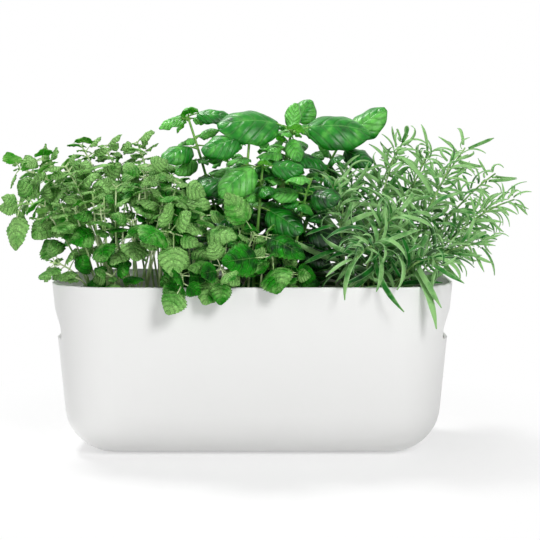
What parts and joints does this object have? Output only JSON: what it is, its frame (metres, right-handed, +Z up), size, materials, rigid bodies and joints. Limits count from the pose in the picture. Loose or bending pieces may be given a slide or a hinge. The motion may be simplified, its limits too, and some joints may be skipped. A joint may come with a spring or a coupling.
{
  "type": "indoor herb planter",
  "caption": "White tub with end grips and a water reservoir; a planted liner on wick wells lifts out, with lemon balm, basil and rosemary growing in it.",
  "frame": {"origin": "centre of the flat underside that the tub stands on", "axes": "+Z up out of the mouth, +X along the tub's length towards the rosemary, -Y towards the side that the picture shows"},
  "size_m": [0.5199, 0.2612, 0.3459],
  "materials": {
    "tub": "satin white moulded polypropylene",
    "liner": "fine matt white moulded polypropylene",
    "mix": "loose dark potting mix",
    "root_ball": "compacted dark potting mix bound by pale roots",
    "lemon_balm": "matt crinkled light green leaf with pale green stems",
    "basil": "glossy smooth mid green leaf with pale green stems",
    "rosemary": "satin dark green needle with a pale underside"
  },
  "bodies": {
    "tub": {"outer_tub": "tub"},
    "liner": {"basil_shoot_01": "basil", "basil_shoot_02": "basil", "basil_shoot_03": "basil", "basil_shoot_04": "basil", "basil_shoot_05": "basil", "basil_shoot_06": "basil", "basil_shoot_07": "basil", "basil_shoot_08": "basil", "basil_shoot_09": "basil", "basil_shoot_10": "basil", "inner_liner": "liner", "lemon_balm_shoot_01": "lemon_balm", "lemon_balm_shoot_02": "lemon_balm", "lemon_balm_shoot_03": "lemon_balm", "lemon_balm_shoot_04": "lemon_balm", "lemon_balm_shoot_05": "lemon_balm", "lemon_balm_shoot_06": "lemon_balm", "lemon_balm_shoot_07": "lemon_balm", "lemon_balm_shoot_08": "lemon_balm", "lemon_balm_shoot_09": "lemon_balm", "lemon_balm_shoot_10": "lemon_balm", "lemon_balm_shoot_11": "lemon_balm", "lemon_balm_shoot_12": "lemon_balm", "lemon_balm_shoot_13": "lemon_balm", "lemon_balm_shoot_14": "lemon_balm", "lemon_balm_shoot_15": "lemon_balm", "lemon_balm_shoot_16": "lemon_balm", "lemon_balm_shoot_17": "lemon_balm", "lemon_balm_shoot_18": "lemon_balm", "lemon_balm_shoot_19": "lemon_balm", "lemon_balm_shoot_20": "lemon_balm", "lemon_balm_shoot_21": "lemon_balm", "lemon_balm_shoot_22": "lemon_balm", "lemon_balm_shoot_23": "lemon_balm", "potting_mix": "mix", "root_ball_left": "root_ball", "root_ball_middle": "root_ball", "root_ball_right": "root_ball", "rosemary_sprig_01": "rosemary", "rosemary_sprig_02": "rosemary", "rosemary_sprig_03": "rosemary", "rosemary_sprig_04": "rosemary", "rosemary_sprig_05": "rosemary", "rosemary_sprig_06": "rosemary", "rosemary_sprig_07": "rosemary", "rosemary_sprig_08": "rosemary", "rosemary_sprig_09": "rosemary", "rosemary_sprig_10": "rosemary", "rosemary_sprig_11": "rosemary", "rosemary_sprig_12": "rosemary", "rosemary_sprig_13": "rosemary", "rosemary_sprig_14": "rosemary", "rosemary_sprig_15": "rosemary", "rosemary_sprig_16": "rosemary", "rosemary_sprig_17": "rosemary"}
  },
  "joints": [
    {"name": "liner_lift", "type": "slide", "parent": "tub", "child": "liner", "axis": [0, 0, 1], "range_m": [0, 0.17]}
  ]
}
